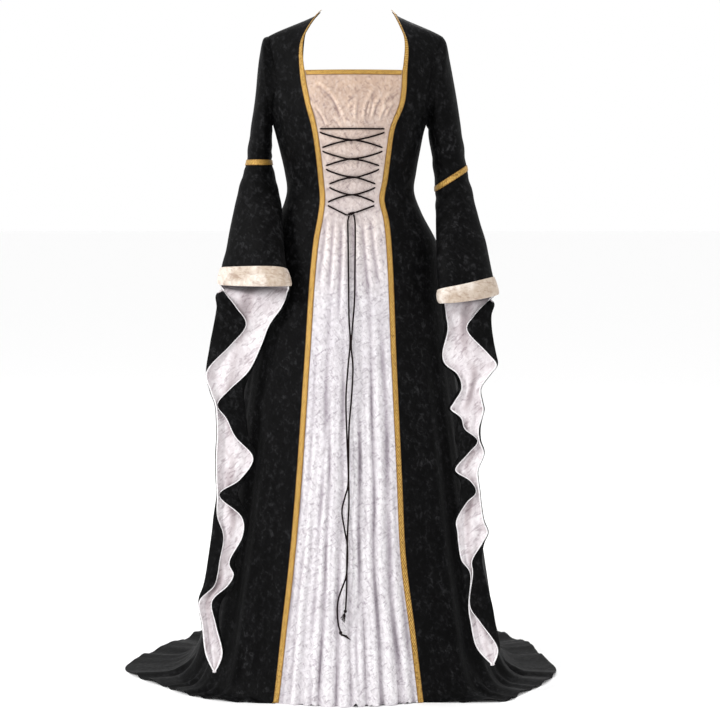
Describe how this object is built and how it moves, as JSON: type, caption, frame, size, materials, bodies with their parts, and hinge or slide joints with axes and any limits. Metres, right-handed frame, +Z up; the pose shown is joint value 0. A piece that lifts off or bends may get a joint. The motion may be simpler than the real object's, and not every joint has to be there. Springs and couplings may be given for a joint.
{
  "type": "medieval gown",
  "caption": "Long medieval gown filled out as if worn: laced front panel with gold braid, flared sleeves with hanging lined points, and a train spread on the floor.",
  "frame": {"origin": "middle of the shoulder line, where the wearer holds the gown up", "axes": "+Z up, the gown faces -Y, +X is the wearer's left; the floor under the hem is at z = -1.445"},
  "size_m": [0.9599, 0.9352, 1.4499],
  "materials": {
    "black_velvet": "crushed velvet",
    "cream_velvet": "crushed velvet",
    "silver_lining": "silky velvet",
    "gold_braid": "woven metallic thread",
    "dark_lace": "matt braided cord"
  },
  "bodies": {
    "root": {"front_panel": "cream_velvet", "side_front_right": "black_velvet", "side_front_left": "black_velvet", "back_right": "black_velvet", "back_left": "black_velvet", "sleeve_upper_right": "black_velvet", "sleeve_upper_left": "black_velvet", "sleeve_lower_right": "black_velvet", "sleeve_lower_left": "black_velvet", "sleeve_lining_right": "silver_lining", "sleeve_lining_left": "silver_lining", "cuff_right": "cream_velvet", "cuff_left": "cream_velvet", "armband_right": "gold_braid", "armband_left": "gold_braid", "trim_front_right": "gold_braid", "trim_front_left": "gold_braid", "trim_top": "gold_braid", "trim_back_neck": "gold_braid", "lace_bar": "dark_lace", "lace_cross_1_right": "dark_lace", "lace_cross_1_left": "dark_lace", "lace_cross_2_right": "dark_lace", "lace_cross_2_left": "dark_lace", "lace_cross_3_right": "dark_lace", "lace_cross_3_left": "dark_lace", "lace_cross_4_right": "dark_lace", "lace_cross_4_left": "dark_lace", "lace_to_knot_right": "dark_lace", "lace_to_knot_left": "dark_lace", "lace_knot": "dark_lace", "lace_end_right": "dark_lace", "lace_end_left": "dark_lace", "lace_end_knot_right": "dark_lace", "lace_end_knot_left": "dark_lace", "lace_tip_right": "dark_lace", "lace_tip_left": "dark_lace"}
  },
  "joints": []
}
